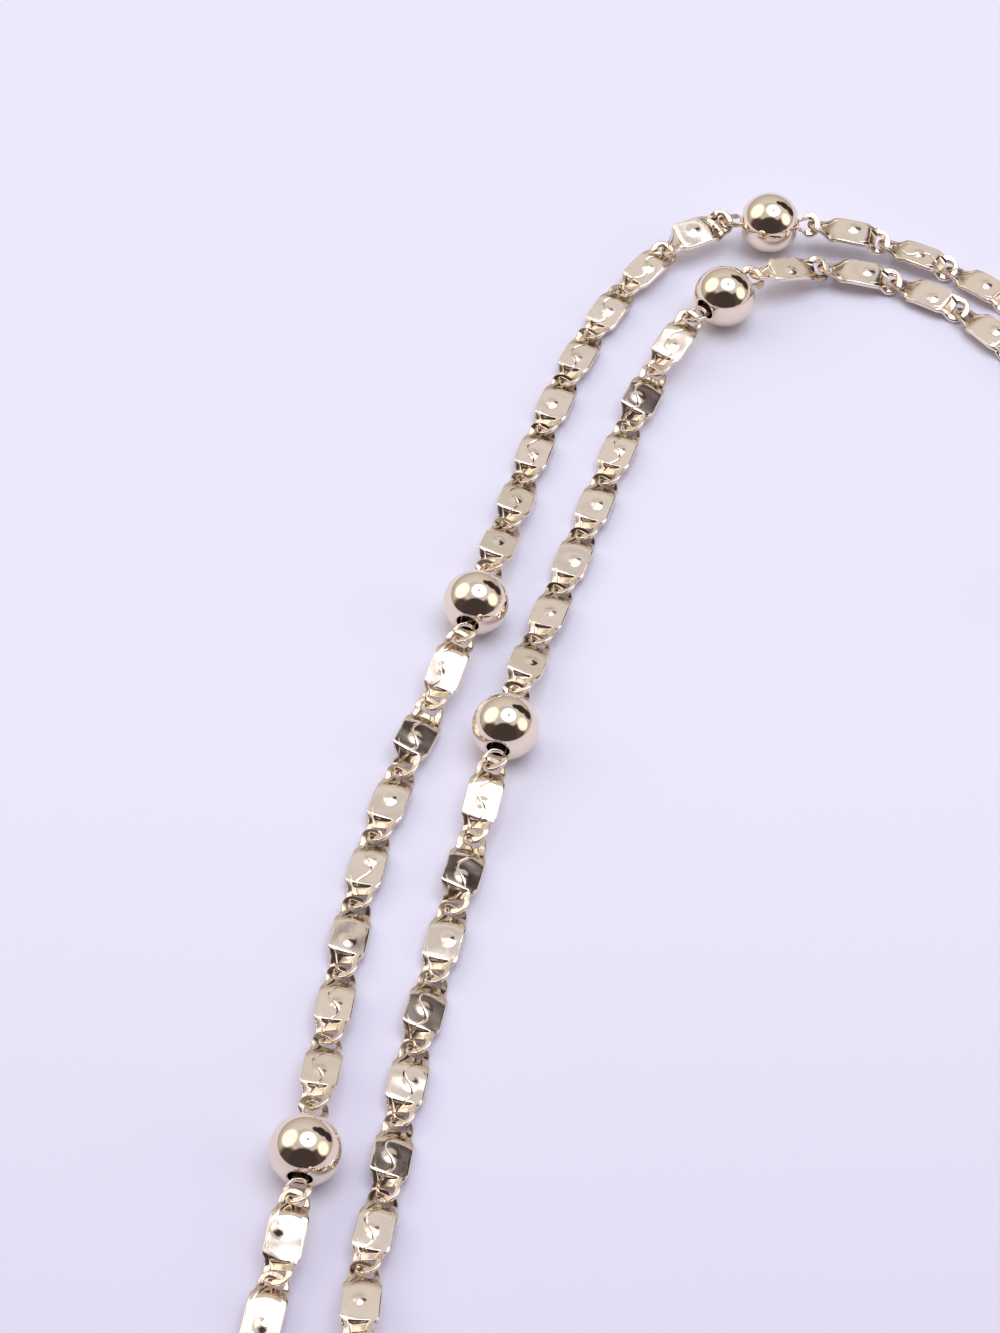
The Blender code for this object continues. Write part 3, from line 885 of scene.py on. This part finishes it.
# The room seen in the metal. byHeight gives its light by the height of a direction. Each patch over it is a
# name, a direction, its half angle and soft edge in degrees, and its light
roomSettings = {
    "strength": 1.0,
    "byHeight": [
        (0.0, (0.42, 0.38, 0.36)), (0.25, (0.60, 0.56, 0.53)), (0.55, (0.70, 0.67, 0.65)),
        (0.77, (0.78, 0.75, 0.76)), (0.86, (0.60, 0.57, 0.58)), (0.94, (0.66, 0.64, 0.66)),
        (1.0, (1.0, 0.98, 1.0)),
    ],
    "patches": [
        ("cameraSideLeft", (-0.76, -0.58, 0.26), 31, 18, (0.085, 0.06, 0.055)),
        ("cameraSideRight", (0.62, -0.70, 0.33), 28, 12, (0.09, 0.07, 0.07)),
        ("cameraSide", (-0.08, -0.93, 0.36), 43, 8, (0.062, 0.046, 0.048)),
        ("leftWindow", (-0.70, 0.22, 0.67), 23, 12, (1.75, 1.55, 1.38)),
        ("rightWindow", (0.87, -0.20, 0.45), 17, 12, (1.6, 1.42, 1.28)),
        ("farRightDarkTop", (0.45, 0.61, 0.65), 9, 5, (0.06, 0.04, 0.045)),
        ("farRightDarkMiddle", (0.66, 0.56, 0.50), 14, 5, (0.045, 0.03, 0.036)),
        ("farRightDarkLow", (0.86, 0.44, 0.24), 13, 5, (0.05, 0.032, 0.04)),
        ("lamp", (0.18, 0.03, 0.98), 23, 6, (3.1, 3.15, 3.5)),
        ("lampCentre", (0.18, 0.03, 0.98), 5, 3, (0.5, 0.52, 0.6)),
    ],
}


def lightRoom():
    r = roomSettings
    world = bpy.data.worlds.new("studio")
    bpy.context.scene.world = world
    world.use_nodes = True
    desk = NodeDesk(world.node_tree)
    background = world.node_tree.nodes["Background"]
    direction = desk.add("ShaderNodeTexCoord").outputs["Generated"]
    height = desk.add("ShaderNodeSeparateXYZ", {"Vector": direction}).outputs["Z"]
    ramp = desk.add("ShaderNodeValToRGB", {"Fac": height})
    while len(ramp.color_ramp.elements) < len(r["byHeight"]):
        ramp.color_ramp.elements.new(1.0)
    for element, (at, colour) in zip(ramp.color_ramp.elements, r["byHeight"]):
        element.position = at
        element.color = (*colour, 1)
    light = ramp.outputs["Color"]
    for label, towards, halfAngle, soft, colour in r["patches"]:
        unit = Vector(towards).normalized()
        nearness = desk.add("ShaderNodeVectorMath", {0: direction, 1: unit}, operation="DOT_PRODUCT")
        nearness.label = label
        edges = [math.cos(math.radians(halfAngle + side * soft / 2)) for side in (1, -1)]
        inside = desk.ranged(nearness.outputs["Value"], edges, kind="SMOOTHSTEP")
        light = desk.mixed(inside, light, colour)
    world.node_tree.links.new(light, background.inputs["Color"])
    background.inputs["Strength"].default_value = r["strength"]
    bpy.context.scene.view_settings.view_transform = "Standard"


# Where the camera is and looks, in the route's numbers, and its lens and sensor. clipStart is in metres
cameraSettings = {
    "place": (0.0, -138.6, 165.2),
    "lookAt": (0.0, 0.0, 0.0),
    "lens": 96.7,
    "sensor": 36.0,
    "clipStart": 0.005,
}


def placeCamera():
    c = cameraSettings
    data = bpy.data.cameras.new("camera")
    data.lens = c["lens"]
    data.sensor_width = c["sensor"]
    data.sensor_fit = "AUTO"
    data.clip_start = c["clipStart"]
    camera = bpy.data.objects.new("camera", data)
    bpy.context.scene.collection.objects.link(camera)
    place, lookAt = (Vector((np.array(c[key]) + shift) * mm) for key in ("place", "lookAt"))
    camera.location = place
    camera.rotation_euler = (lookAt - place).to_track_quat("-Z", "Y").to_euler()
    bpy.context.scene.camera = camera


makeTable()
lightRoom()
placeCamera()
print("Table, light and camera set")
